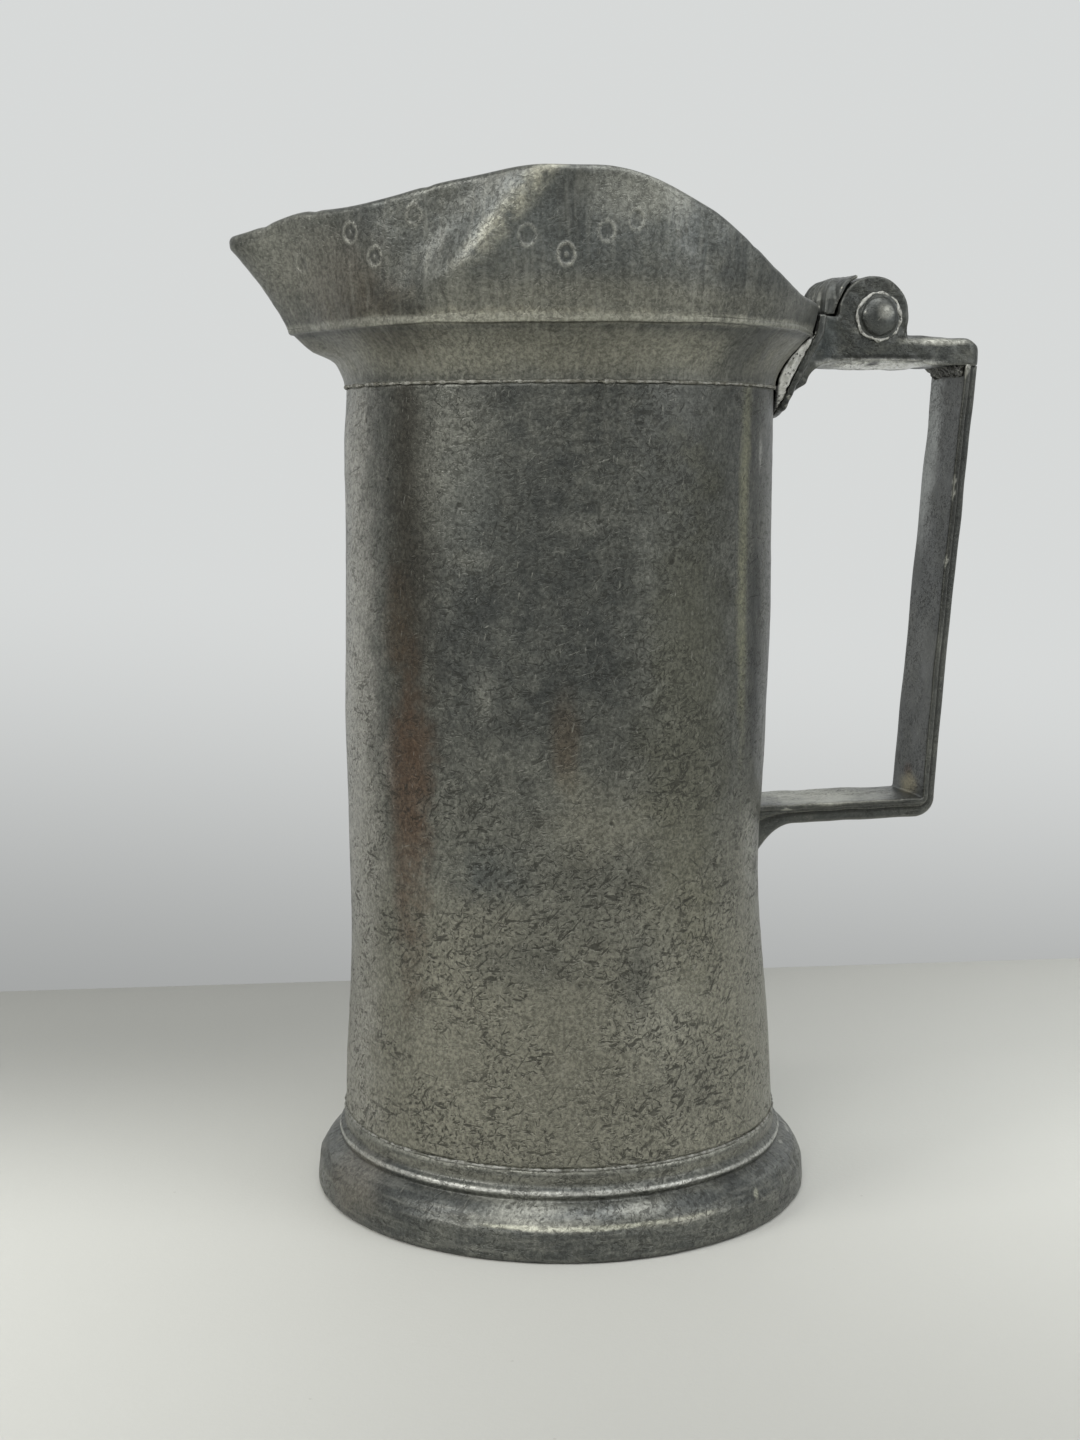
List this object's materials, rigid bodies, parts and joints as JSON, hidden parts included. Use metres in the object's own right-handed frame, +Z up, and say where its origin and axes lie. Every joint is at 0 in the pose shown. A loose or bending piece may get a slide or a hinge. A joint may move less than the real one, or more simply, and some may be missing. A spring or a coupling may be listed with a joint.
{
  "type": "pewter flagon",
  "caption": "Cast pewter litre wine measure with a pouring lip, a square bracket handle and the hinged fluted leaf of a lost lid.",
  "frame": {"origin": "on the drum's axis, on the plane that the foot's rim rests on", "axes": "+Z up along the drum, +X towards the handle, -X towards the spout, and the side that the picture shows faces -Y"},
  "size_m": [0.1641, 0.1138, 0.2154],
  "materials": {
    "worn_pewter": "worn grey-green pewter, pitted and scratched, satin",
    "dark_pewter": "dark blue-grey worn pewter, satin",
    "solder": "pale bare solder, rough"
  },
  "bodies": {
    "vessel": {"drum": "worn_pewter", "base_plate": "worn_pewter", "foot": "dark_pewter", "foot_seam": "solder", "collar_seam": "solder", "bonnet": "worn_pewter", "upper_arm": "dark_pewter", "saddle_solder": "solder", "grip": "dark_pewter", "grip_solder": "solder", "hinge_pin": "dark_pewter", "pin_button_near": "dark_pewter", "pin_button_far": "dark_pewter"},
    "leaf": {"hinge_leaf": "dark_pewter"}
  },
  "joints": [
    {"name": "leaf_hinge", "type": "hinge", "parent": "vessel", "child": "leaf", "pos_m": [0.0691, 0, 0.1915], "axis": [0, 1, 0], "range_deg": [0, 110]}
  ]
}
